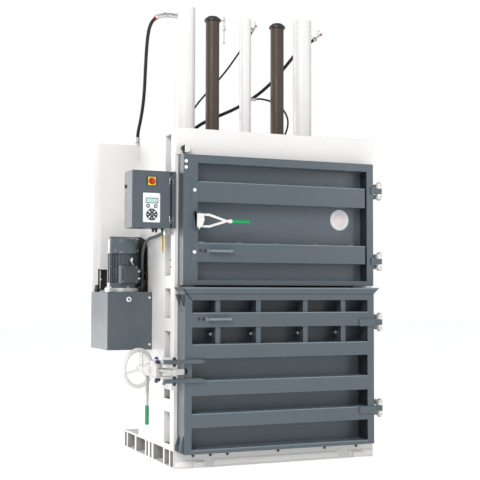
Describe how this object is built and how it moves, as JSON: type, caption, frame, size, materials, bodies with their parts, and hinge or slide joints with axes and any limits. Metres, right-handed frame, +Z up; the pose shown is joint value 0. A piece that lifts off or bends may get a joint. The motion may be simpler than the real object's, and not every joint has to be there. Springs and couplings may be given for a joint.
{
  "type": "recycling baler",
  "caption": "Upright hydraulic waste baler with two side-hung doors, a platen driven from above by rams, a power pack and a control cabinet on its left side, and a screw lock on the lower door.",
  "frame": {"origin": "on the floor, on the centre line of the press frame, in the plane of the frame's front face that the closed doors shut against", "axes": "+Z up; -Y towards the doors; +X towards the side that carries the door hinges, away from the power pack"},
  "size_m": [1.869, 1.3216, 3.228],
  "materials": {
    "frame_white": "satin",
    "door_grey": "satin",
    "guide_brown": "satin",
    "black_rubber": "matte",
    "black_plastic": "matte",
    "green_plastic": "matte",
    "bright_steel": "brushed",
    "rod_chrome": "polished",
    "motor_grey": "painted",
    "cowl_grey": "satin",
    "box_grey": "satin",
    "conduit_grey": "matte",
    "yellow_plastic": "satin",
    "red_plastic": "satin",
    "panel_white": "satin",
    "key_grey": "matte",
    "sign_white": "satin",
    "lock_iron": "painted",
    "floor_steel": "worn"
  },
  "bodies": {
    "frame": {"base_frame": "frame_white", "left_side_frame": "frame_white", "right_side_frame": "frame_white", "rear_wall": "frame_white", "press_head": "frame_white", "front_header": "frame_white", "cylinder_barrels": "frame_white", "middle_cylinder": "frame_white", "hinge_brackets": "frame_white", "rear_cover": "frame_white", "lock_bracket": "frame_white", "oil_tank": "door_grey", "cabinet_shell": "door_grey", "motor_cables": "black_rubber", "pressure_hose": "black_rubber", "left_hose": "black_rubber", "right_hose": "black_rubber", "middle_hose": "black_rubber", "loop_hose": "black_rubber", "interlock_switch": "black_plastic", "guide_bushes": "bright_steel", "hinge_pins": "bright_steel", "hose_fittings": "bright_steel", "cable_glands": "bright_steel", "lock_bolts": "bright_steel", "motor_body": "motor_grey", "pump": "motor_grey", "pump_flange": "motor_grey", "motor_cowl": "cowl_grey", "terminal_box": "box_grey", "supply_conduit": "conduit_grey", "lock_housing": "lock_iron", "chamber_floor": "floor_steel"},
    "ram": {"platen": "floor_steel", "guide_tubes": "guide_brown", "guide_caps": "black_plastic", "piston_rods": "rod_chrome", "middle_rod": "rod_chrome"},
    "upper_door": {"upper_door": "door_grey", "upper_handle": "door_grey", "round_sign": "sign_white"},
    "latch_lever": {"latch_lever": "frame_white", "latch_grip": "green_plastic"},
    "lower_door": {"lower_door": "door_grey", "lower_handle": "door_grey", "strap_guides": "bright_steel", "lock_arms": "door_grey"},
    "cabinet_door": {"cabinet_door": "door_grey", "switch_plate": "yellow_plastic", "control_panel": "panel_white"},
    "switch_knob": {"switch_knob": "red_plastic"},
    "key_left": {"key_left": "key_grey"},
    "key_right": {"key_right": "key_grey"},
    "selector_pad": {"selector_pad": "key_grey"},
    "centre_key": {"centre_key": "key_grey"},
    "motor_rotor": {"motor_rotor": "motor_grey"},
    "lock_spindle": {"lock_spindle": "bright_steel", "release_lever": "bright_steel", "release_grip": "green_plastic"},
    "handwheel": {"handwheel": "lock_iron"}
  },
  "joints": [
    {"name": "upper_door_hinge", "type": "hinge", "parent": "frame", "child": "upper_door", "pos_m": [0.766, -0.072, 1.63], "axis": [0, 0, 1], "range_deg": [0, 120]},
    {"name": "lower_door_hinge", "type": "hinge", "parent": "frame", "child": "lower_door", "pos_m": [0.766, -0.072, 0.65], "axis": [0, 0, 1], "range_deg": [0, 120]},
    {"name": "latch_lever_pivot", "type": "hinge", "parent": "upper_door", "child": "latch_lever", "pos_m": [-0.628, -0.135, 1.62], "axis": [0, 0, -1], "range_deg": [0, 120]},
    {"name": "ram_slide", "type": "slide", "parent": "frame", "child": "ram", "axis": [0, 0, -1], "range_m": [0, 0.86]},
    {"name": "cabinet_door_hinge", "type": "hinge", "parent": "frame", "child": "cabinet_door", "pos_m": [-0.7815, -0.018, 1.768], "axis": [0, 0, 1], "range_deg": [0, 100]},
    {"name": "switch_knob_turn", "type": "hinge", "parent": "cabinet_door", "child": "switch_knob", "pos_m": [-0.916, -0.03, 1.887], "axis": [0, 1, 0], "range_deg": [0, 90]},
    {"name": "key_left_push", "type": "slide", "parent": "cabinet_door", "child": "key_left", "axis": [0, 1, 0], "range_m": [0, 0.0015], "stiffness_N_per_m": 600},
    {"name": "key_right_push", "type": "slide", "parent": "cabinet_door", "child": "key_right", "axis": [0, 1, 0], "range_m": [0, 0.0015], "stiffness_N_per_m": 600},
    {"name": "selector_pad_push", "type": "slide", "parent": "cabinet_door", "child": "selector_pad", "axis": [0, 1, 0], "range_m": [0, 0.0015], "stiffness_N_per_m": 900},
    {"name": "centre_key_push", "type": "slide", "parent": "cabinet_door", "child": "centre_key", "axis": [0, 1, 0], "range_m": [0, 0.0015], "stiffness_N_per_m": 600},
    {"name": "motor_spin", "type": "hinge", "parent": "frame", "child": "motor_rotor", "pos_m": [-0.9, 0.67, 1.3], "axis": [0, 0, 1], "continuous": true},
    {"name": "lock_turn", "type": "hinge", "parent": "frame", "child": "lock_spindle", "pos_m": [-0.858, 0.037, 0.651], "axis": [-0.3891, 0.9212, 0], "range_deg": [0, 90]},
    {"name": "handwheel_spin", "type": "hinge", "parent": "lock_spindle", "child": "handwheel", "pos_m": [-0.858, 0.037, 0.651], "axis": [-0.3891, 0.9212, 0], "continuous": true}
  ]
}
